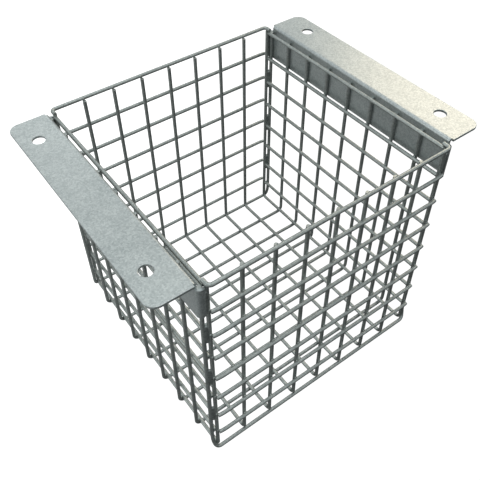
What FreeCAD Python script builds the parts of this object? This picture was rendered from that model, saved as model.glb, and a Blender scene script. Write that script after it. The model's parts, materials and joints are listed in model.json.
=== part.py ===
# Open-top welded wire mesh container with two folded angle mounting brackets.
# Frame: X across the brackets, Y along them (front is -Y), Z up, millimetres.
# Origin: under the middle of the floor, on the plane the floor wires stand on.
import FreeCAD
import Part
import Sketcher
import math
import os

OUT = "parts"
os.makedirs(OUT, exist_ok=True)

doc = FreeCAD.newDocument("wire_mesh_container")

# ---------------------------------------------------------------- dimensions
DIMENSIONS = [
    ("wire_dia", 3.0, "diameter of every wire"),
    ("pitch", 25.4, "spacing of the mesh, both ways"),
    ("cell_count", 8, "mesh cells along each side"),
    ("side_out", 3.5, "side wall wires stand this far outside the mesh lattice"),
    ("end_out", 0.5, "end wall wires stand this far outside the mesh lattice"),
    ("side_drop", 0.7, "height of side wall rail zero above the ground"),
    ("end_drop", 4.0, "height of end wall rail zero above the ground"),
    ("side_bend", 5.5, "centre line bend radius, side to side wires"),
    ("end_bend", 4.0, "centre line bend radius, front to back wires"),
    ("side_top", 203.8, "top of the side wall uprights"),
    ("end_top", 206.2, "top of the end wall uprights"),
    ("corner_top", 205.6, "top of the corner uprights of the end walls"),
    ("edge_in", 2.0, "corner upright of a side wall sits this far inside the lattice"),
    ("edge_low_out", 1.86, "front and back bottom wire, out from the lattice"),
    ("edge_low_rise", 4.0, "front and back bottom wire, centre height"),
    ("edge_turn", 5.6, "where the bottom wire starts to turn up, in from its upright"),
    ("edge_settle", 22.0, "height where the corner upright is straight again"),
    ("side_rail_half", 99.9, "half length of a side wall rail"),
    ("end_rail_half", 101.3, "half length of an end wall rail"),
    ("end_rail_flat", 94.0, "half length of the straight run of an end wall rail"),
    ("end_rail_curl", 46.0, "radius of the inward curl at the ends of an end wall rail"),
    ("hook_bend", 3.0, "centre line bend radius of the hooked ends of the top end wall rails"),
    ("hook_tip", 98.6, "where the hooked ends of the top end wall rails stop"),
    ("corner_in", 0.2, "first and last front to back wire, in from the lattice"),
    ("corner_lift", 5.2, "centre height of the first and last front to back wire"),
    ("corner_bend_in", 0.1, "corner upright of an end wall, in from the lattice"),
    ("sheet", 2.0, "bracket sheet thickness"),
    ("bracket_top", 209.0, "top of the bracket flange"),
    ("leg_low", 178.0, "bottom edge of the bracket leg"),
    ("flange_edge", 138.5, "outer edge of the bracket flange"),
    ("flange_half", 101.6, "half length of the bracket flange"),
    ("leg_half", 99.6, "half length of the flat part of the bracket leg"),
    ("fold_in", 0.4, "inside radius of the flange fold"),
    ("tab_fold", 1.6, "inside radius of the end tab fold"),
    ("tab_tip", 103.0, "free edge of the end tab"),
    ("tab_top", 204.0, "top edge of the end tab"),
    ("tab_round", 3.0, "radius of the lower free corner of the end tab"),
    ("edge_soft", 0.4, "rounding of the sheared edges of the flange and its holes"),
    ("flange_round", 8.0, "radius of the outer flange corners"),
    ("hole_dia", 9.5, "mounting hole"),
    ("hole_x", 125.0, "mounting hole from the middle, across"),
    ("hole_y", 75.0, "mounting hole from the middle, along"),
    ("bead_long", 19.0, "length of a corner weld bead"),
    ("bead_wide", 3.1, "half width of a corner weld bead"),
    ("bead_thick", 1.9, "half thickness of a corner weld bead"),
    ("bead_round", 1.1, "rounding of the bead ends"),
    ("seam_long", 20.0, "length of the seam between end tab and corner upright"),
    ("seam_rad", 1.3, "radius of that seam"),
]

sheet = doc.addObject("Spreadsheet::Sheet", "dims")
for row, (alias, value, note) in enumerate(DIMENSIONS, start=1):
    sheet.set("A%d" % row, alias)
    sheet.set("B%d" % row, str(value))
    sheet.set("C%d" % row, note)
    sheet.setAlias("B%d" % row, alias)
doc.recompute()

HALF = "(dims.pitch * dims.cell_count / 2)"
SIDE_X = "(%s + dims.side_out)" % HALF
SIDE_RAIL_X = "(%s + dims.side_out - dims.wire_dia)" % HALF
END_Y = "(%s + dims.end_out)" % HALF
END_RAIL_Y = "(%s + dims.end_out + dims.wire_dia)" % HALF
CORNER_X = "(%s - dims.corner_in)" % HALF
HOOK_X = "(%s - dims.hook_bend)" % SIDE_RAIL_X
CORNER_Y = "(%s - dims.corner_bend_in)" % HALF
EDGE_Y = "(%s - dims.edge_in)" % HALF
LEG_X = "(%s + dims.side_out + dims.wire_dia / 2)" % HALF
WIRE_R = "dims.wire_dia / 2"


def cell(alias):
    return float(sheet.get(alias))


def lattice(index):
    return "((%d - dims.cell_count / 2) * dims.pitch)" % index


# ------------------------------------------------------------ sketch helpers
def origin_plane(body, name):
    for feature in body.Origin.OriginFeatures:
        if feature.Role == name:
            return feature
    raise ValueError(name)


def new_sketch(body, plane, name, offset=None):
    sketch = body.newObject("Sketcher::SketchObject", name)
    sketch.AttachmentSupport = [(origin_plane(body, plane), "")]
    sketch.MapMode = "FlatFace"
    if offset is not None:
        sketch.setExpression("AttachmentOffset.Base.z", offset)
    return sketch


def rule(sketch, kind, targets, expression, start):
    index = sketch.addConstraint(Sketcher.Constraint(kind, *targets, start))
    label = "c%d" % index
    sketch.renameConstraint(index, label)
    sketch.setExpression("Constraints.%s" % label, expression)


def circle(sketch, x_expr, y_expr, r_expr, sign_x=1, sign_y=1):
    geo = sketch.addGeometry(
        Part.Circle(FreeCAD.Vector(60.0 * sign_x, 60.0 * sign_y, 0), FreeCAD.Vector(0, 0, 1), 2.0), False
    )
    rule(sketch, "Radius", (geo,), r_expr, 2.0)
    place_point(sketch, geo, 3, x_expr, y_expr, sign_x, sign_y)
    return geo


def place_point(sketch, geo, point, x_expr, y_expr, sign_x=1, sign_y=1):
    """Dimension a point from the sketch origin; the signs say which side of it."""
    here = sketch.getPoint(geo, point)
    for kind, sign, expression, value in (
        ("DistanceX", sign_x, x_expr, here.x), ("DistanceY", sign_y, y_expr, here.y)
    ):
        if expression is None:
            continue
        targets = (-1, 1, geo, point) if sign > 0 else (geo, point, -1, 1)
        rule(sketch, kind, targets, expression, abs(value))


def on_axis(sketch, geo, point, axis):
    sketch.addConstraint(Sketcher.Constraint("PointOnObject", geo, point, axis))


# ---------------------------------------------------------------- U wires
def u_spine(sketch, low, span, bend, top):
    """Half a U: floor run from the middle, bend, upright."""
    vector = FreeCAD.Vector
    low_line = sketch.addGeometry(Part.LineSegment(vector(0, 5, 0), vector(95, 5, 0)), False)
    turn = sketch.addGeometry(
        Part.ArcOfCircle(Part.Circle(vector(95, 10, 0), vector(0, 0, 1), 5), -math.pi / 2, 0), False
    )
    upright = sketch.addGeometry(Part.LineSegment(vector(100, 10, 0), vector(100, 200, 0)), False)
    on_axis(sketch, low_line, 1, -2)
    sketch.addConstraint(Sketcher.Constraint("Horizontal", low_line))
    sketch.addConstraint(Sketcher.Constraint("Vertical", upright))
    sketch.addConstraint(Sketcher.Constraint("Tangent", low_line, 2, turn, 1))
    sketch.addConstraint(Sketcher.Constraint("Tangent", turn, 2, upright, 1))
    rule(sketch, "DistanceY", (-1, 1, low_line, 1), low, 5.0)
    rule(sketch, "Radius", (turn,), bend, 5.0)
    rule(sketch, "DistanceX", (-1, 1, upright, 2), span, 100.0)
    rule(sketch, "DistanceY", (-1, 1, upright, 2), top, 200.0)


def half_pipe(body, profile, spine, mirror_plane):
    pipe = body.newObject("PartDesign::AdditivePipe", body.Name + "_pipe")
    pipe.Profile = (profile, [""])
    pipe.Spine = (spine, [])
    profile.Visibility = False
    mirror = body.newObject("PartDesign::Mirrored", body.Name + "_mirror")
    mirror.Originals = [pipe]
    mirror.MirrorPlane = (origin_plane(body, mirror_plane), [""])
    body.Tip = mirror


def new_body(name):
    body = doc.addObject("PartDesign::Body", name)
    body.Label = name
    NODES.append(body)
    return body


def side_to_side_wire(name, index):
    body = new_body(name)
    y = lattice(index)
    spine = new_sketch(body, "XZ_Plane", name + "_spine", "-(%s)" % y)
    u_spine(spine, WIRE_R, SIDE_X, "dims.side_bend", "dims.side_top")
    profile = new_sketch(body, "YZ_Plane", name + "_section")
    sign = 1 if index >= 4 else -1
    if index == 4:
        geo = profile.addGeometry(Part.Circle(FreeCAD.Vector(0, 2, 0), FreeCAD.Vector(0, 0, 1), 1.5), False)
        rule(profile, "Radius", (geo,), WIRE_R, 1.5)
        on_axis(profile, geo, 3, -2)
        place_point(profile, geo, 3, None, WIRE_R)
    else:
        circle(profile, "%d * (%s)" % (sign, y), WIRE_R, WIRE_R, sign_x=sign)
    half_pipe(body, profile, spine, "YZ_Plane")


def front_to_back_wire(name, index):
    body = new_body(name)
    corner = index in (0, 8)
    sign = 1 if index >= 4 else -1
    span = CORNER_Y if corner else END_Y
    low = "dims.corner_lift" if corner else "1.5 * dims.wire_dia"
    top = "dims.corner_top" if corner else "dims.end_top"
    x = CORNER_X if corner else "%d * (%s)" % (sign, lattice(index))
    spine = new_sketch(body, "YZ_Plane", name + "_spine", "%d * (%s)" % (sign, x))
    u_spine(spine, low, span, "dims.end_bend", top)
    profile = new_sketch(body, "XZ_Plane", name + "_section")
    if index == 4:
        geo = profile.addGeometry(Part.Circle(FreeCAD.Vector(0, 5, 0), FreeCAD.Vector(0, 0, 1), 1.5), False)
        rule(profile, "Radius", (geo,), WIRE_R, 1.5)
        on_axis(profile, geo, 3, -2)
        place_point(profile, geo, 3, None, low)
    else:
        circle(profile, x, low, WIRE_R, sign_x=sign)
    half_pipe(body, profile, spine, "XZ_Plane")


def bottom_edge_wire(name, side):
    """Outermost side to side wire: low in the fold, uprights drawn in beside the corner."""
    half = cell("pitch") * cell("cell_count") / 2
    radius = cell("wire_dia") / 2
    x_up = half + cell("side_out")
    y_low = side * (half + cell("edge_low_out"))
    y_up = side * (half - cell("edge_in"))
    z_low = cell("edge_low_rise")
    z_up = cell("edge_settle")
    x_turn = x_up - cell("edge_turn")
    vector = FreeCAD.Vector

    def turn(sign):
        curve = Part.BezierCurve()
        curve.setPoles([
            vector(sign * x_up, y_up, z_up),
            vector(sign * x_up, y_up, z_up * 0.40),
            vector(sign * x_up, y_low, z_low),
            vector(sign * x_turn, y_low, z_low),
        ])
        return curve.toShape()

    left_up = Part.makeLine(vector(-x_up, y_up, cell("side_top")), vector(-x_up, y_up, z_up))
    low = Part.makeLine(vector(-x_turn, y_low, z_low), vector(x_turn, y_low, z_low))
    right_up = Part.makeLine(vector(x_up, y_up, z_up), vector(x_up, y_up, cell("side_top")))
    right_turn = turn(1)
    right_turn.reverse()
    spine = doc.addObject("Part::Feature", name + "_spine")
    spine.Shape = Part.Wire([left_up, turn(-1), low, right_turn, right_up])
    spine.Placement = FreeCAD.Placement()
    section = doc.addObject("Part::Circle", name + "_section")
    section.setExpression("Radius", WIRE_R)
    section.setExpression("Placement.Base.x", "-(%s)" % SIDE_X)
    section.setExpression("Placement.Base.y", "%d * (%s)" % (side, EDGE_Y))
    section.setExpression("Placement.Base.z", "dims.side_top")
    sweep = doc.addObject("Part::Sweep", name)
    sweep.Sections = [section]
    sweep.Spine = (spine, ["Edge1", "Edge2", "Edge3", "Edge4", "Edge5"])
    sweep.Solid = True
    sweep.Frenet = False
    sweep.Label = name
    NODES.append(sweep)


# ------------------------------------------------------------------- rails
def rail_spine(spine, side, flat, radius, turn):
    """Half a rail: straight run from the middle, then an arc that turns inwards."""
    vector = FreeCAD.Vector
    start_x, start_y = 90, side * 100
    start_rad = 46 if turn < 1 else 3
    quarter = math.pi / 2
    angles = (-quarter, turn - quarter) if side < 0 else (quarter - turn, quarter)
    near, far = (1, 2) if side < 0 else (2, 1)
    run = spine.addGeometry(Part.LineSegment(vector(0, start_y, 0), vector(start_x, start_y, 0)), False)
    ring = Part.Circle(vector(start_x, start_y - side * start_rad, 0), vector(0, 0, 1), start_rad)
    curl = spine.addGeometry(Part.ArcOfCircle(ring, *angles), False)
    on_axis(spine, run, 1, -2)
    spine.addConstraint(Sketcher.Constraint("Horizontal", run))
    spine.addConstraint(Sketcher.Constraint("Tangent", run, 2, curl, near))
    place_point(spine, run, 2, flat, END_RAIL_Y, 1, side)
    rule(spine, "Radius", (curl,), radius, start_rad)
    return curl, far


def end_rail(name, side, level):
    """Rail of an end wall; the top one hooks in over the corner uprights, onto the side rails."""
    body = new_body(name)
    height = "(%d * dims.pitch + dims.end_drop)" % level
    spine = new_sketch(body, "XY_Plane", name + "_spine", height)
    if level < CELLS:
        curl, far = rail_spine(spine, side, "dims.end_rail_flat", "dims.end_rail_curl", 0.3)
        rule(spine, "DistanceX", (-1, 1, curl, far), "dims.end_rail_half", 100.0)
    else:
        curl, far = rail_spine(spine, side, HOOK_X, "dims.hook_bend", math.pi / 2)
        root = spine.getPoint(curl, far)
        tip = FreeCAD.Vector(root.x, root.y - side * 5, 0)
        hook = spine.addGeometry(Part.LineSegment(root, tip), False)
        spine.addConstraint(Sketcher.Constraint("Tangent", curl, far, hook, 1))
        spine.addConstraint(Sketcher.Constraint("Vertical", hook))
        place_point(spine, hook, 2, None, "dims.hook_tip", 1, side)
    profile = new_sketch(body, "YZ_Plane", name + "_section")
    circle(profile, END_RAIL_Y, height, WIRE_R, sign_x=side)
    half_pipe(body, profile, spine, "YZ_Plane")


def side_rail(name, side, level):
    body = new_body(name)
    section = new_sketch(body, "XZ_Plane", name + "_section")
    height = "(%d * dims.pitch + dims.side_drop)" % level
    circle(section, SIDE_RAIL_X, height, WIRE_R, sign_x=side)
    pad = body.newObject("PartDesign::Pad", name + "_pad")
    pad.Profile = (section, [""])
    pad.Midplane = True
    pad.setExpression("Length", "2 * dims.side_rail_half")
    body.Tip = pad


# ---------------------------------------------------------------- brackets
def rounded(body, name, base, edges, radius):
    fillet = body.newObject("PartDesign::Fillet", name)
    fillet.Base = (base, edges)
    fillet.setExpression("Radius", radius)
    doc.recompute()
    return fillet


def bracket(name, side):
    body = new_body(name)
    vector = FreeCAD.Vector
    leg = cell("pitch") * cell("cell_count") / 2 + cell("side_out") + cell("wire_dia") / 2
    thick = cell("sheet")
    top = cell("bracket_top")
    fold = cell("fold_in") + thick

    # folded section: flange root, fold and leg, drawn looking along Y
    section = new_sketch(body, "XZ_Plane", name + "_section")
    inner, outer = side * leg, side * (leg + thick)
    root = side * (leg + fold)
    centre = vector(root, top - fold, 0)
    begin, end = (math.pi / 2, math.pi) if side > 0 else (0.0, math.pi / 2)
    skin = section.addGeometry(
        Part.ArcOfCircle(Part.Circle(centre, vector(0, 0, 1), fold), begin, end), False
    )
    bore = section.addGeometry(
        Part.ArcOfCircle(Part.Circle(centre, vector(0, 0, 1), cell("fold_in")), begin, end), False
    )
    low = cell("leg_low")
    inside = section.addGeometry(Part.LineSegment(vector(inner, top - fold, 0), vector(inner, low, 0)), False)
    foot = section.addGeometry(Part.LineSegment(vector(inner, low, 0), vector(outer, low, 0)), False)
    outside = section.addGeometry(Part.LineSegment(vector(outer, low, 0), vector(outer, top - fold, 0)), False)
    lip = section.addGeometry(Part.LineSegment(vector(root, top - thick, 0), vector(root, top, 0)), False)
    at_leg, at_flange = (2, 1) if side > 0 else (1, 2)
    section.addConstraint(Sketcher.Constraint("Tangent", skin, at_leg, inside, 1))
    section.addConstraint(Sketcher.Constraint("Tangent", bore, at_leg, outside, 2))
    section.addConstraint(Sketcher.Constraint("Coincident", skin, 3, bore, 3))
    section.addConstraint(Sketcher.Constraint("Coincident", inside, 2, foot, 1))
    section.addConstraint(Sketcher.Constraint("Coincident", foot, 2, outside, 1))
    section.addConstraint(Sketcher.Constraint("Coincident", lip, 2, skin, at_flange))
    section.addConstraint(Sketcher.Constraint("Coincident", lip, 1, bore, at_flange))
    section.addConstraint(Sketcher.Constraint("Vertical", inside))
    section.addConstraint(Sketcher.Constraint("Horizontal", foot))
    section.addConstraint(Sketcher.Constraint("Vertical", lip))
    rule(section, "Radius", (skin,), "dims.fold_in + dims.sheet", fold)
    rule(section, "Radius", (bore,), "dims.fold_in", cell("fold_in"))
    place_point(section, foot, 1, LEG_X, "dims.leg_low", side)
    rule(section, "DistanceY", (-1, 1, skin, 3), "dims.bracket_top - dims.fold_in - dims.sheet", top - fold)
    pad = body.newObject("PartDesign::Pad", name + "_leg")
    pad.Profile = (section, [""])
    pad.Midplane = True
    pad.setExpression("Length", "2 * dims.leg_half")

    # flange plate with rounded outer corners and two holes
    plate = new_sketch(body, "XY_Plane", name + "_plate", "dims.bracket_top - dims.sheet")
    edge = side * cell("flange_edge")
    half = cell("flange_half")
    rad = cell("flange_round")
    bend_x = edge - side * rad
    corner_low = Part.Circle(vector(bend_x, rad - half, 0), vector(0, 0, 1), rad)
    corner_high = Part.Circle(vector(bend_x, half - rad, 0), vector(0, 0, 1), rad)
    quarter = math.pi / 2
    if side > 0:
        low_arc = plate.addGeometry(Part.ArcOfCircle(corner_low, -quarter, 0.0), False)
        high_arc = plate.addGeometry(Part.ArcOfCircle(corner_high, 0.0, quarter), False)
        low_flat, low_edge, high_edge, high_flat = 1, 2, 1, 2
    else:
        low_arc = plate.addGeometry(Part.ArcOfCircle(corner_low, math.pi, 3 * quarter), False)
        high_arc = plate.addGeometry(Part.ArcOfCircle(corner_high, quarter, math.pi), False)
        low_flat, low_edge, high_edge, high_flat = 2, 1, 2, 1
    front = plate.addGeometry(Part.LineSegment(vector(root, -half, 0), vector(bend_x, -half, 0)), False)
    rim = plate.addGeometry(Part.LineSegment(vector(edge, rad - half, 0), vector(edge, half - rad, 0)), False)
    back = plate.addGeometry(Part.LineSegment(vector(bend_x, half, 0), vector(root, half, 0)), False)
    hem = plate.addGeometry(Part.LineSegment(vector(root, half, 0), vector(root, -half, 0)), False)
    plate.addConstraint(Sketcher.Constraint("Tangent", front, 2, low_arc, low_flat))
    plate.addConstraint(Sketcher.Constraint("Tangent", low_arc, low_edge, rim, 1))
    plate.addConstraint(Sketcher.Constraint("Tangent", rim, 2, high_arc, high_edge))
    plate.addConstraint(Sketcher.Constraint("Tangent", high_arc, high_flat, back, 1))
    plate.addConstraint(Sketcher.Constraint("Coincident", back, 2, hem, 1))
    plate.addConstraint(Sketcher.Constraint("Coincident", hem, 2, front, 1))
    plate.addConstraint(Sketcher.Constraint("Vertical", hem))
    plate.addConstraint(Sketcher.Constraint("Horizontal", front))
    plate.addConstraint(Sketcher.Constraint("Horizontal", back))
    plate.addConstraint(Sketcher.Constraint("Vertical", rim))
    rule(plate, "Radius", (low_arc,), "dims.flange_round", rad)
    place_point(plate, front, 1, "%s + dims.fold_in + dims.sheet" % LEG_X, "dims.flange_half", side, -1)
    place_point(plate, back, 2, None, "dims.flange_half", side, 1)
    place_point(plate, rim, 1, "dims.flange_edge", None, side)
    for end_sign in (-1, 1):
        circle(plate, "dims.hole_x", "dims.hole_y", "dims.hole_dia / 2", side, end_sign)
    flange = body.newObject("PartDesign::Pad", name + "_flange")
    flange.Profile = (plate, [""])
    flange.setExpression("Length", "dims.sheet")

    # end tabs folded round the corner upright of the side wall
    tabs = new_sketch(body, "XY_Plane", name + "_tabs", "dims.leg_low")
    tight = cell("tab_fold")
    wide = tight + thick
    for end_sign in (-1, 1):
        start_y = end_sign * cell("leg_half")
        face_in = end_sign * (cell("leg_half") + tight)
        face_out = end_sign * (cell("leg_half") + wide)
        hub = vector(side * (leg - tight), start_y, 0)
        tip = side * cell("tab_tip")
        span = {(1, 1): (0.0, quarter), (-1, 1): (quarter, math.pi)}
        span.update({(-1, -1): (math.pi, 3 * quarter), (1, -1): (-quarter, 0.0)})
        begin, end = span[(side, end_sign)]
        at_wall, at_tab = (1, 2) if side * end_sign > 0 else (2, 1)
        small = tabs.addGeometry(Part.ArcOfCircle(Part.Circle(hub, vector(0, 0, 1), tight), begin, end), False)
        large = tabs.addGeometry(Part.ArcOfCircle(Part.Circle(hub, vector(0, 0, 1), wide), begin, end), False)
        stub = tabs.addGeometry(Part.LineSegment(vector(inner, start_y, 0), vector(outer, start_y, 0)), False)
        near = tabs.addGeometry(Part.LineSegment(vector(hub.x, face_in, 0), vector(tip, face_in, 0)), False)
        free = tabs.addGeometry(Part.LineSegment(vector(tip, face_in, 0), vector(tip, face_out, 0)), False)
        away = tabs.addGeometry(Part.LineSegment(vector(tip, face_out, 0), vector(hub.x, face_out, 0)), False)
        tabs.addConstraint(Sketcher.Constraint("Coincident", stub, 1, small, at_wall))
        tabs.addConstraint(Sketcher.Constraint("Coincident", stub, 2, large, at_wall))
        tabs.addConstraint(Sketcher.Constraint("Coincident", small, 3, large, 3))
        tabs.addConstraint(Sketcher.Constraint("Tangent", small, at_tab, near, 1))
        tabs.addConstraint(Sketcher.Constraint("Tangent", large, at_tab, away, 2))
        tabs.addConstraint(Sketcher.Constraint("Coincident", near, 2, free, 1))
        tabs.addConstraint(Sketcher.Constraint("Coincident", free, 2, away, 1))
        tabs.addConstraint(Sketcher.Constraint("Horizontal", stub))
        tabs.addConstraint(Sketcher.Constraint("Vertical", free))
        tabs.addConstraint(Sketcher.Constraint("Horizontal", near))
        rule(tabs, "Radius", (small,), "dims.tab_fold", tight)
        rule(tabs, "Radius", (large,), "dims.tab_fold + dims.sheet", wide)
        place_point(tabs, stub, 1, LEG_X, "dims.leg_half", side, end_sign)
        place_point(tabs, free, 1, "dims.tab_tip", None, side)
        place_point(tabs, small, 3, None, "dims.leg_half", 1, end_sign)
    tab_pad = body.newObject("PartDesign::Pad", name + "_tab_pad")
    tab_pad.Profile = (tabs, [""])
    tab_pad.setExpression("Length", "dims.tab_top - dims.leg_low")

    # rounded lower corner of each tab, softened edges round the flange and its holes
    doc.recompute()
    corners = []
    for index, edge in enumerate(tab_pad.Shape.Edges, start=1):
        box = edge.BoundBox
        level = box.ZLength < 0.01 and abs(box.ZMin - low) < 0.01
        if level and box.XLength < 0.01 and abs(abs(box.XMin) - cell("tab_tip")) < 0.01:
            corners.append("Edge%d" % index)
    tab_round = rounded(body, name + "_tab_round", tab_pad, corners, "dims.tab_round")
    rims = []
    for index, edge in enumerate(tab_round.Shape.Edges, start=1):
        box = edge.BoundBox
        level = box.ZLength < 0.01 and box.ZMin > top - thick - 0.01
        if level and max(abs(box.XMin), abs(box.XMax)) > leg + fold + 0.1:
            rims.append("Edge%d" % index)
    body.Tip = rounded(body, name + "_softened", tab_round, rims, "dims.edge_soft")


# ------------------------------------------------------------------- welds
def group(name, members):
    node = doc.addObject("Part::Compound", name)
    node.Links = members
    node.Label = name
    NODES.append(node)


def corner_welds(name, x_side, y_side, levels):
    """Three flat beads joining the two corner uprights."""
    along_x = cell("side_out") + cell("corner_in")
    along_y = cell("corner_bend_in") - cell("edge_in")
    turn = math.degrees(math.atan2(y_side * along_y, x_side * along_x))
    mid_x = "(%s + %s) / 2" % (SIDE_X, CORNER_X)
    mid_y = "(%s + %s) / 2" % (EDGE_Y, CORNER_Y)
    beads = []
    for level in levels:
        label = "%s_%d" % (name, level)
        outline = doc.addObject("Part::Ellipse", label + "_outline")
        outline.setExpression("MajorRadius", "dims.bead_wide")
        outline.setExpression("MinorRadius", "dims.bead_thick")
        outline.Placement = FreeCAD.Placement(
            FreeCAD.Vector(), FreeCAD.Rotation(FreeCAD.Vector(0, 0, 1), turn)
        )
        centre = "%d * dims.pitch + dims.end_drop - dims.bead_long / 2" % level
        outline.setExpression("Placement.Base.x", "%d * (%s)" % (x_side, mid_x))
        outline.setExpression("Placement.Base.y", "%d * (%s)" % (y_side, mid_y))
        outline.setExpression("Placement.Base.z", centre)
        bar = doc.addObject("Part::Extrusion", label + "_bar")
        bar.Base = outline
        bar.DirMode = "Custom"
        bar.Dir = FreeCAD.Vector(0, 0, 1)
        bar.Solid = True
        bar.setExpression("LengthFwd", "dims.bead_long")
        doc.recompute()
        ends = []
        for index, edge in enumerate(bar.Shape.Edges, start=1):
            box = edge.BoundBox
            if box.ZLength < 0.01:
                ends.append((index, cell("bead_round"), cell("bead_round")))
        bead = doc.addObject("Part::Fillet", label + "_bead")
        bead.Base = bar
        bead.Edges = ends
        beads.append(bead)
    group(name, beads)


def bracket_seams(name, side):
    """Seam between each end tab and the corner upright beside it."""
    seams = []
    for end_sign in (-1, 1):
        label = "%s_%s" % (name, "front" if end_sign < 0 else "back")
        rod = doc.addObject("Part::Cylinder", label)
        rod.setExpression("Radius", "dims.seam_rad")
        rod.setExpression("Height", "dims.seam_long")
        rod.setExpression("Placement.Base.x", "%d * (dims.tab_tip - 0.1)" % side)
        rod.setExpression("Placement.Base.y", "%d * (dims.leg_half + dims.tab_fold + dims.sheet - 0.6)" % end_sign)
        rod.setExpression("Placement.Base.z", "dims.leg_low + 3")
        seams.append(rod)
    group(name, seams)


# ------------------------------------------------------------------- build
NODES = []
CELLS = int(cell("cell_count"))

for j in range(1, CELLS):
    side_to_side_wire("side_wire_%d" % j, j)
bottom_edge_wire("side_wire_front", -1)
bottom_edge_wire("side_wire_back", 1)
for i in range(CELLS + 1):
    front_to_back_wire("end_wire_%d" % i, i)
for k in range(1, CELLS + 1):
    end_rail("front_rail_%d" % k, -1, k)
    end_rail("back_rail_%d" % k, 1, k)
    side_rail("left_rail_%d" % k, -1, k)
    side_rail("right_rail_%d" % k, 1, k)
bracket("left_bracket", -1)
bracket("right_bracket", 1)
WELD_LEVELS = (2, 4, 6)
corner_welds("weld_front_left", -1, -1, WELD_LEVELS)
corner_welds("weld_front_right", 1, -1, WELD_LEVELS)
corner_welds("weld_back_left", -1, 1, WELD_LEVELS)
corner_welds("weld_back_right", 1, 1, WELD_LEVELS)
bracket_seams("left_bracket_weld", -1)
bracket_seams("right_bracket_weld", 1)

doc.recompute()

# ---------------------------------------------------------- check and export
for item in doc.Objects:
    if "Invalid" in item.State or "Error" in item.State:
        raise RuntimeError("%s is %s" % (item.Name, item.State))
for node in NODES:
    shape = node.Shape
    if shape.isNull() or not shape.isValid() or not shape.Solids:
        raise RuntimeError("bad shape: " + node.Label)
    shape.exportStep(os.path.join(OUT, node.Label + ".step"))
print("exported", len(NODES), "nodes")
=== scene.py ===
"""Looks of the galvanised wire mesh container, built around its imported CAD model."""

import json
import math
import random
from collections import namedtuple

import bmesh
import bpy
from mathutils import Matrix, Vector


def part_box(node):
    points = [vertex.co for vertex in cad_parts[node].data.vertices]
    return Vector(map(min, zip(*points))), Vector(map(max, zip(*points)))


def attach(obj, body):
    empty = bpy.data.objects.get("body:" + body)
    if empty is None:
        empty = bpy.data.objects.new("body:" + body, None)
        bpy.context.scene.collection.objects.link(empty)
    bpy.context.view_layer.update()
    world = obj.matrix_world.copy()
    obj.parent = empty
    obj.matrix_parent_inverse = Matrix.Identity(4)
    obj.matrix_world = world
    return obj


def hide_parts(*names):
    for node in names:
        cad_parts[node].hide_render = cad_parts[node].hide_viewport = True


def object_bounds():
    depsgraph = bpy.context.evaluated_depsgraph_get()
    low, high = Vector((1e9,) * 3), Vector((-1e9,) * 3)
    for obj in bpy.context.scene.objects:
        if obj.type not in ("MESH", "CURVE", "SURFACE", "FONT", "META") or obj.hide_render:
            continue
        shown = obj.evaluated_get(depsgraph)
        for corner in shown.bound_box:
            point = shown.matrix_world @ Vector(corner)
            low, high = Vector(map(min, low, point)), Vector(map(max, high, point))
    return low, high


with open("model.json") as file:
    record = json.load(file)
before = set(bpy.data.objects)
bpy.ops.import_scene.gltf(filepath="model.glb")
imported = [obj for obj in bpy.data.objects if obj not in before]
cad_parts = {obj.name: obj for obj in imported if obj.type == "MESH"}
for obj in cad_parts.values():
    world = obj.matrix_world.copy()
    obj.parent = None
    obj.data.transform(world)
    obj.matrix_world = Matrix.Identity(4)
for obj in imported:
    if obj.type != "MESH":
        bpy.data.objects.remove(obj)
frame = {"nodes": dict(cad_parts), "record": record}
cad_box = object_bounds()
nodes = frame["nodes"]

CELLS = 8
WELD_LEVELS = (2, 4, 6)
X, Y, Z = range(3)
ALONG_X, ALONG_Y, ALONG_Z = Vector((1, 0, 0)), Vector((0, 1, 0)), Vector((0, 0, 1))

# The walls, by the side of the part they stand on: along X, then along Y.
SIDES = {-1: "left", 1: "right"}
ENDS = {-1: "front", 1: "back"}

# How the zinc fillet at a wire crossing spreads, as shares of the wire's radius.
FILLET_LONG = 1.22
FILLET_SHORT = 0.74
FILLET_HOLLOW = 0.10
FILLET_SINK = 0.03
FILLET_CAP = 0.5
FILLET_AROUND = 20
FILLET_ROWS = 4

# How large a fillet is elsewhere: at the corner uprights, and under the top rails.
CORNER_FILLET = 0.8
TOP_NUGGETS = {"front": 0.6, "back": 0.9}

# A weld bead's ripples: how far they swell, lean and flatten, as shares of the bead.
BEAD_AROUND = 20
BEAD_ROWS_IN_RIPPLE = 8
BEAD_BLUNTNESS = 5
BEAD_THINNEST = 0.12
BEAD_TROUGH = 0.93
BEAD_CREST = 0.07
BEAD_UNEVEN = 0.02
BEAD_SQUARENESS = 0.8
BEAD_LEAN = 0.12

# How far, in metres, a bead's cap points stand out past its lower and upper end.
BEAD_TIPS = (0.0002, 0.0001)

# The corner beads, in wire radii, and the bracket seams, in radii of the plain seam.
CORNER_BEAD_WIDTH = 0.7
CORNER_BEAD_DEPTH = 1.12
CORNER_BEAD_RIPPLES = 6
SEAM_RADIUS = 1.1
SEAM_RIPPLES = 9

# The zinc's patterns, and how much of each goes into its tone and its gloss.
CLOUD_DETAIL, CLOUD_ROUGHNESS = 5.0, 0.65
PEEL_DETAIL, PEEL_ROUGHNESS = 3.0, 0.5
SPANGLE_IN_TONE = 0.45
CLOUD_IN_GLOSS = 0.5
DARK_STOP, LIGHT_STOP = 0.2, 0.8
BUMP_STRENGTH = 0.5

# Painted shade and light on the floor, which only the zinc's reflections see: from the dark front
# right (0) to the lighter back left (1).
FLOOR_PAINTED_SHADES = [
    (0.25, (0.07, 0.07, 0.07)),
    (0.6, (0.23, 0.23, 0.23)),
    (0.85, (0.42, 0.42, 0.42)),
]
FLOOR_PAINTED_LIGHT_SIDE = (-0.7, 0.7, 0)
FLOOR_REACH = 0.25
FLOOR_GLOW = 1.0
FLOOR_HALF = 12.0

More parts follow.
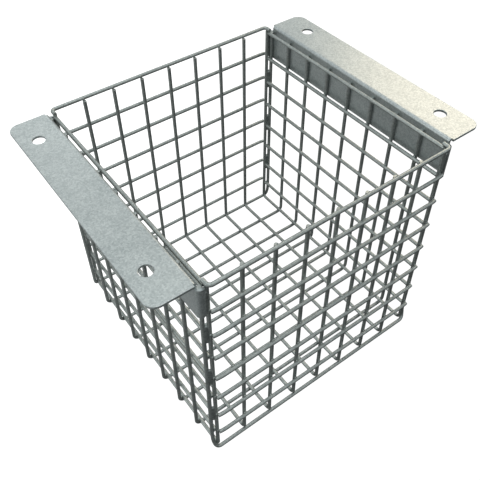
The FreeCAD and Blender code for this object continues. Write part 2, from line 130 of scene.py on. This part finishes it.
# The studio's surroundings, as colours from the horizon (0) to straight up (1).
SKY = [
    (0.0, (0.19, 0.20, 0.20)),
    (0.5, (0.86, 0.90, 0.91)),
    (0.85, (0.42, 0.45, 0.46)),
]
WHITE = (1, 1, 1, 1)

# Soft boxes: azimuth (0 is behind, 90 is the right) and elevation, distance, size, power, colour.
SOFT_BOXES = {
    "overhead": (0, 86, 1.6, (1.2, 1.2), 6, (0.96, 1.0, 1.0)),
    "warm_window": (69, 36, 1.5, (0.8, 0.7), 3.9, (1.0, 0.81, 0.60)),
    "back_sheen": (12, 34, 1.6, (0.25, 0.25), 0.4, (1.0, 1.0, 1.0)),
    "left_fill": (-75, 14, 1.2, (0.5, 0.4), 1.6, (0.97, 0.99, 1.0)),
}

# The camera: metres, degrees, millimetres, and the shift as a share of the sensor.
CAMERA_PLACE = (-0.21925, -0.30022, 0.49314)
CAMERA_AZIMUTH, CAMERA_ELEVATION, CAMERA_ROLL = -35.64, 44.85, -0.907
CAMERA_SENSOR, CAMERA_LENS = 36.0, 48.13
CAMERA_SHIFT = -0.0615


# ------------------------------------------------------------------ materials
class Graph:
    """The node tree of a material or a world, with one call per node."""

    def __init__(self, owner, output):
        owner.use_nodes = True
        self.tree = owner.node_tree
        self.tree.nodes.clear()
        self.output = output

    def add(self, kind, inputs=None, **settings):
        node = self.tree.nodes.new(kind)
        for key, value in settings.items():
            setattr(node, key, value)
        for key, value in (inputs or {}).items():
            socket = node.inputs[key]
            if isinstance(value, bpy.types.NodeSocket):
                self.tree.links.new(value, socket)
            else:
                socket.default_value = value
        return node

    def ramp(self, factor, stops):
        node = self.add("ShaderNodeValToRGB", {"Fac": factor})
        elements = node.color_ramp.elements
        while len(elements) < len(stops):
            elements.new(0.5)
        for element, (position, colour) in zip(elements, stops):
            element.position = position
            element.color = (*colour, 1.0)
        return node.outputs["Color"]

    def noise(self, coords, scale, detail, roughness):
        inputs = {"Vector": coords, "Scale": scale, "Detail": detail, "Roughness": roughness}
        return self.add("ShaderNodeTexNoise", inputs).outputs["Fac"]

    def span(self, value, low, high):
        """Maps 0..1 to low..high."""
        node = self.add("ShaderNodeMapRange", {"Value": value, "To Min": low, "To Max": high})
        return node.outputs["Result"]

    def blend(self, factor, first, second):
        node = self.add("ShaderNodeMix", {"Factor": factor, "A": first, "B": second})
        return node.outputs["Result"]

    def surface(self, shader):
        self.add(self.output, {"Surface": shader})

    def two_faced(self, reflected, shown):
        """One shader for what reflections see, another for what the camera is shown."""
        seen = self.add("ShaderNodeLightPath").outputs["Is Camera Ray"]
        mixed = self.add("ShaderNodeMixShader", {"Fac": seen, 1: reflected, 2: shown})
        self.surface(mixed.outputs["Shader"])


def zinc(name, dark, light, drift, spangle, grain, rough, peel, metallic):
    """Hot-dip zinc: fine crystal spangles over a drifting tone, orange peel and dull patches."""
    material = bpy.data.materials.new(name)
    graph = Graph(material, "ShaderNodeOutputMaterial")
    coords = graph.add("ShaderNodeTexCoord").outputs["Object"]
    cells = graph.add("ShaderNodeTexVoronoi", {"Vector": coords, "Scale": spangle})
    crystal = graph.add("ShaderNodeSeparateColor", {"Color": cells.outputs["Color"]})
    cloud = graph.noise(coords, drift, CLOUD_DETAIL, CLOUD_ROUGHNESS)
    tone = graph.blend(SPANGLE_IN_TONE, cloud, crystal.outputs["Red"])
    fine = graph.noise(coords, grain, PEEL_DETAIL, PEEL_ROUGHNESS)
    dull = graph.blend(CLOUD_IN_GLOSS, fine, cloud)
    bump = graph.add("ShaderNodeBump", {
        "Strength": BUMP_STRENGTH,
        "Distance": peel,
        "Height": fine,
    })
    shader = graph.add("ShaderNodeBsdfPrincipled", {
        "Base Color": graph.ramp(tone, [(DARK_STOP, dark), (LIGHT_STOP, light)]),
        "Metallic": metallic,
        "Roughness": graph.span(dull, *rough),
        "Normal": bump.outputs["Normal"],
    })
    graph.surface(shader.outputs["BSDF"])
    return material


def pale_floor():
    """A plain pale studio floor; reflections see painted light and shade on it, lighter on the left
    and back, darker at the front right.
    """
    material = bpy.data.materials.new("floor")
    graph = Graph(material, "ShaderNodeOutputMaterial")
    place = graph.add("ShaderNodeNewGeometry").outputs["Position"]
    directions = {0: place, 1: FLOOR_PAINTED_LIGHT_SIDE}
    across = graph.add("ShaderNodeVectorMath", directions, operation="DOT_PRODUCT")
    painted_light_share = graph.add("ShaderNodeMapRange", {
        "Value": across.outputs["Value"],
        "From Min": -FLOOR_REACH,
        "From Max": FLOOR_REACH,
    })
    # Painted shade and light: the floor's colour darkens towards the front right and lightens
    # towards the back left.
    shade = graph.ramp(painted_light_share.outputs["Result"], FLOOR_PAINTED_SHADES)
    painted_shade_matt = graph.add("ShaderNodeBsdfDiffuse", {"Color": shade}).outputs["BSDF"]
    glow = graph.add("ShaderNodeEmission", {"Color": WHITE, "Strength": FLOOR_GLOW})
    lifted = graph.add("ShaderNodeAddShader", {0: painted_shade_matt, 1: glow.outputs["Emission"]})
    graph.two_faced(painted_shade_matt, lifted.outputs["Shader"])
    return material


def pale_surroundings():
    world = bpy.data.worlds.new("studio")
    graph = Graph(world, "ShaderNodeOutputWorld")
    place = graph.add("ShaderNodeTexCoord").outputs["Generated"]
    height = graph.add("ShaderNodeSeparateXYZ", {"Vector": place}).outputs["Z"]
    around = graph.add("ShaderNodeBackground", {"Color": graph.ramp(height, SKY)})
    pale = graph.add("ShaderNodeBackground", {"Color": WHITE})
    graph.two_faced(around.outputs["Background"], pale.outputs["Background"])
    return world


FINISHES = {
    "galvanised_wire": zinc(
        "wire_zinc", dark=(0.30, 0.33, 0.32), light=(0.48, 0.51, 0.49), drift=90, spangle=900,
        grain=1600, rough=(0.28, 0.48), peel=0.00008, metallic=0.78,
    ),
    "galvanised_plate": zinc(
        "plate_zinc", dark=(0.38, 0.42, 0.42), light=(0.60, 0.64, 0.63), drift=60, spangle=1000,
        grain=1100, rough=(0.30, 0.44), peel=0.00010, metallic=0.75,
    ),
    "weld": zinc(
        "weld_zinc", dark=(0.22, 0.25, 0.24), light=(0.40, 0.43, 0.42), drift=220, spangle=700,
        grain=1400, rough=(0.32, 0.52), peel=0.00015, metallic=0.9,
    ),
}


# ------------------------------------------------------------ reading the CAD
rail_low, rail_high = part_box("left_rail_1")
RADIUS = (rail_high.z - rail_low.z) / 2

# A straight stretch of wire: a point on its centre line and its direction.
Run = namedtuple("Run", ["point", "direction"])


def middle(name):
    low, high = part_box(name)
    return (low + high) / 2


def edge_wire(name, axis, side):
    """The centre line of the wire at the low (-1) or high (1) side of a node's box."""
    low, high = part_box(name)
    return high[axis] - RADIUS if side > 0 else low[axis] + RADIUS


def side_upright(name, x_side, y):
    return Run(Vector((edge_wire(name, X, x_side), y, 0)), ALONG_Z)


def end_upright(index, y_side):
    name = f"end_wire_{index}"
    return Run(Vector((middle(name).x, edge_wire(name, Y, y_side), 0)), ALONG_Z)


def side_uprights(side):
    """The uprights of the left (-1) or right (1) wall between its corners, front to back."""
    names = [f"side_wire_{index}" for index in range(1, CELLS)]
    return [side_upright(name, side, middle(name).y) for name in names]


def end_uprights(side):
    """The uprights of the front (-1) or back (1) wall between its corners, left to right."""
    return [end_upright(index, side) for index in range(1, CELLS)]


def corner_uprights(x_side, y_side):
    """The two uprights that stand side by side in a corner: side wall's, end wall's."""
    name = f"side_wire_{ENDS[y_side]}"
    first = side_upright(name, x_side, edge_wire(name, Y, -y_side))
    return first, end_upright(CELLS if x_side > 0 else 0, y_side)


def side_rails(side):
    """A side wall's rails, all but the top one, which the uprights stop under."""
    return [Run(middle(f"{SIDES[side]}_rail_{level}"), ALONG_Y) for level in range(1, CELLS)]


def end_rail(side, level, y_side):
    """An end wall's rail, taken at the low (-1) or high (1) side of its box."""
    name = f"{ENDS[side]}_rail_{level}"
    point = middle(name)
    point.y = edge_wire(name, Y, y_side)
    return Run(point, ALONG_X)


# ------------------------------------------------------------------- meshes
class Mesh:
    """Gathers the closed shells of one piece."""

    def __init__(self):
        self.points = []
        self.faces = []

    def rings(self, rings, caps):
        """A closed shell: rings of points, joined one to the next, with a cap point at each end."""
        start = len(self.points)
        around = len(rings[0])
        for ring in rings:
            self.points.extend(ring)
        for row in range(len(rings) - 1):
            here = start + row * around
            above = here + around
            for column in range(around):
                beside = (column + 1) % around
                self.faces.append((here + column, here + beside, above + beside, above + column))
        for row, cap in zip((0, len(rings) - 1), caps):
            self.points.append(cap)
            tip = len(self.points) - 1
            edge = start + row * around
            for column in range(around):
                pair = (edge + column, edge + (column + 1) % around)
                self.faces.append((*(pair if row else pair[::-1]), tip))

    def piece(self, name, slot, replaced=()):
        mesh = bpy.data.meshes.new(name)
        mesh.from_pydata([tuple(p) for p in self.points], [], self.faces)
        work = bmesh.new()
        work.from_mesh(mesh)
        bmesh.ops.recalc_face_normals(work, faces=work.faces)
        work.to_mesh(mesh)
        work.free()
        mesh.shade_smooth()
        mesh.materials.append(FINISHES[slot])
        made = bpy.data.objects.new(name, mesh)
        bpy.context.scene.collection.objects.link(made)
        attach(made, "root")
        if replaced:
            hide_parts(*replaced)


def circle(steps):
    """The cosine and sine of each step round a circle."""
    angles = [2 * math.pi * step / steps for step in range(steps)]
    return [(math.cos(angle), math.sin(angle)) for angle in angles]


def crossing_fillet(mesh, first, second, grow=1.0):
    """The zinc that fills the crevice where two crossed wires touch."""
    across = first.direction.cross(second.direction).normalized()
    gap = (second.point - first.point).dot(across)
    if gap < 0:
        across = -across
        gap = -gap
    flat = second.point - first.point - across * gap
    run = flat.dot(first.direction)
    touch = first.point + first.direction * run + across * gap / 2
    long, short = RADIUS * FILLET_LONG * grow, RADIUS * FILLET_SHORT * grow
    sink = RADIUS * FILLET_SINK
    lower, upper = [], []
    for cosine, sine in circle(FILLET_AROUND):
        u, v = long * cosine, short * sine
        lower.append(Vector((u, v, math.sqrt(RADIUS**2 - v**2) - RADIUS - sink)))
        u, v = short * cosine, long * sine
        upper.append(Vector((u, v, RADIUS - math.sqrt(RADIUS**2 - u**2) + sink)))
    rings = []
    for row in range(FILLET_ROWS + 1):
        share = row / FILLET_ROWS
        hollow = 1 - FILLET_HOLLOW * 4 * share * (1 - share)
        ring = []
        for low_point, high_point in zip(lower, upper):
            local = low_point.lerp(high_point, share)
            spread = (first.direction * local.x + second.direction * local.y) * hollow
            ring.append(touch + spread + across * local.z)
        rings.append(ring)
    depth = across * RADIUS * FILLET_CAP
    mesh.rings(rings, (touch - depth, touch + depth))


def wall_fillets(wall, uprights, rails, corners, corner_rails):
    mesh = Mesh()
    for rail in rails:
        for upright in uprights:
            crossing_fillet(mesh, rail, upright)
    for rail in corner_rails:
        for corner in corners:
            crossing_fillet(mesh, rail, corner, CORNER_FILLET)
    mesh.piece(f"{wall}_wall_fillets", "galvanised_wire")


def top_nuggets(side):
    """Weld metal that joins an end wall's uprights to its top rail."""
    rail = end_rail(side, CELLS, side)
    mesh = Mesh()
    for upright in end_uprights(side):
        crossing_fillet(mesh, rail, upright, TOP_NUGGETS[ENDS[side]])
    mesh.piece(f"{ENDS[side]}_top_nuggets", "weld")


def floor_fillets():
    lower = []
    for index in range(1, CELLS):
        name = f"side_wire_{index}"
        lower.append(Run(Vector((0, middle(name).y, edge_wire(name, Z, -1))), ALONG_X))
    upper = []
    for index in range(CELLS + 1):
        name = f"end_wire_{index}"
        upper.append(Run(Vector((middle(name).x, 0, edge_wire(name, Z, -1))), ALONG_Y))
    mesh = Mesh()
    for first in lower:
        for second in upper:
            crossing_fillet(mesh, first, second)
    mesh.piece("floor_fillets", "galvanised_wire")


def squared(value):
    return math.copysign(abs(value) ** BEAD_SQUARENESS, value)


def weld_bead(mesh, start, end, wide, thick, ripples, rng):
    """A run of weld metal from start to end: stacked ripples with rounded ends."""
    length = (end - start).length
    along = (end - start) / length
    rows = BEAD_ROWS_IN_RIPPLE * ripples
    rings = []
    for row in range(rows + 1):
        share = row / rows
        taper = max((1 - abs(2 * share - 1) ** BEAD_BLUNTNESS) ** 0.5, BEAD_THINNEST)
        crest = 0.5 - 0.5 * math.cos(2 * math.pi * ripples * share)
        swell = taper * (BEAD_TROUGH + BEAD_CREST * crest + BEAD_UNEVEN * rng.uniform(-1, 1))
        centre = start + along * (share * length)
        ring = []
        for cosine, sine in circle(BEAD_AROUND):
            side, face = squared(cosine), squared(sine)
            lean = along * (abs(face) * -BEAD_LEAN * length / ripples)
            ring.append(centre + wide * side * swell + thick * face * swell + lean)
        rings.append(ring)
    mesh.rings(rings, (start - along * BEAD_TIPS[0], end + along * BEAD_TIPS[1]))


def corner_beads(x_side, y_side):
    """Three beads that join the two uprights of a corner, in place of the plain ones."""
    corner = f"{ENDS[y_side]}_{SIDES[x_side]}"
    node = f"weld_{corner}"
    first, second = corner_uprights(x_side, y_side)
    heights = [middle(f"{ENDS[y_side]}_rail_{level}").z for level in WELD_LEVELS]
    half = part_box(node)[1].z - heights[-1]
    spread = (second.point - first.point) / 2
    centre = (first.point + second.point) / 2
    wide = spread.normalized() * (spread.length + RADIUS * CORNER_BEAD_WIDTH)
    thick = Vector((-spread.y, spread.x, 0)).normalized() * RADIUS * CORNER_BEAD_DEPTH
    rng = random.Random(node)
    mesh = Mesh()
    for height in heights:
        bottom = Vector((centre.x, centre.y, height - half))
        top = Vector((centre.x, centre.y, height + half))
        weld_bead(mesh, bottom, top, wide, thick, CORNER_BEAD_RIPPLES, rng)
    mesh.piece(f"corner_weld_{corner}", "weld", [node])


def bracket_seam(side):
    """A bracket's seams between its tabs and the corner uprights, in place of the plain ones."""
    node = f"{SIDES[side]}_bracket_weld"
    low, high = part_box(node)
    radius = (high.x - low.x) / 2
    x = middle(node).x
    wide, thick = Vector((radius * SEAM_RADIUS, 0, 0)), Vector((0, radius * SEAM_RADIUS, 0))
    rng = random.Random(node)
    mesh = Mesh()
    for y in (low.y + radius, high.y - radius):
        bottom, top = Vector((x, y, low.z)), Vector((x, y, high.z))
        weld_bead(mesh, bottom, top, wide, thick, SEAM_RIPPLES, rng)
    mesh.piece(f"{SIDES[side]}_bracket_seam", "weld", [node])


def finish_cad():
    """Every CAD node takes its slot's finish."""
    slots = {part["node"]: part["material_slot"] for part in frame["record"]["subparts"]}
    for name, node in nodes.items():
        node.data.materials.clear()
        node.data.materials.append(FINISHES[slots[name]])


# -------------------------------------------------------------- light, camera
def soft_light(name, azimuth, elevation, distance, size, power, colour, aim):
    """A rectangular soft box that faces the aim from that direction."""
    data = bpy.data.lights.new(name, "AREA")
    data.shape = "RECTANGLE"
    data.size, data.size_y = size
    data.energy = power
    data.color = colour
    lamp = bpy.data.objects.new(name, data)
    bpy.context.scene.collection.objects.link(lamp)
    turn, rise = math.radians(azimuth), math.radians(elevation)
    level = math.cos(rise)
    out = Vector((math.sin(turn) * level, math.cos(turn) * level, math.sin(rise)))
    lamp.location = aim + out * distance
    lamp.rotation_euler = (-out).to_track_quat("-Z", "Y").to_euler()


def studio():
    low, high = cad_box
    for name, settings in SOFT_BOXES.items():
        soft_light(name, *settings, aim=(low + high) / 2)

    mesh = bpy.data.meshes.new("floor")
    corners = [(-1, -1), (1, -1), (1, 1), (-1, 1)]
    points = [(x * FLOOR_HALF, y * FLOOR_HALF, low.z) for x, y in corners]
    mesh.from_pydata(points, [], [(0, 1, 2, 3)])
    mesh.materials.append(pale_floor())
    floor = bpy.data.objects.new("floor", mesh)
    bpy.context.scene.collection.objects.link(floor)

    bpy.context.scene.world = pale_surroundings()
    bpy.context.scene.view_settings.view_transform = "Standard"


def camera():
    data = bpy.data.cameras.new("camera")
    data.sensor_width = CAMERA_SENSOR
    data.lens = CAMERA_LENS
    data.shift_y = CAMERA_SHIFT
    eye = bpy.data.objects.new("camera", data)
    bpy.context.scene.collection.objects.link(eye)
    eye.matrix_world = (
        Matrix.Translation(CAMERA_PLACE)
        @ Matrix.Rotation(math.radians(CAMERA_AZIMUTH), 4, "Z")
        @ Matrix.Rotation(math.pi / 2 - math.radians(CAMERA_ELEVATION), 4, "X")
        @ Matrix.Rotation(math.radians(CAMERA_ROLL), 4, "Z")
    )
    bpy.context.scene.camera = eye


# --------------------------------------------------------------------- build
finish_cad()
for side, wall in SIDES.items():
    corners = [corner_uprights(side, end)[0] for end in ENDS]
    rails = side_rails(side)
    wall_fillets(wall, side_uprights(side), rails, corners, rails)
    bracket_seam(side)
for end, wall in ENDS.items():
    corners = [corner_uprights(side, end)[1] for side in SIDES]
    straights = [end_rail(end, level, end) for level in range(1, CELLS)]
    curled_ends = [end_rail(end, level, -end) for level in range(1, CELLS)]
    wall_fillets(wall, end_uprights(end), straights, corners, curled_ends)
    top_nuggets(end)
floor_fillets()
for side in SIDES:
    for end in ENDS:
        corner_beads(side, end)
studio()
camera()
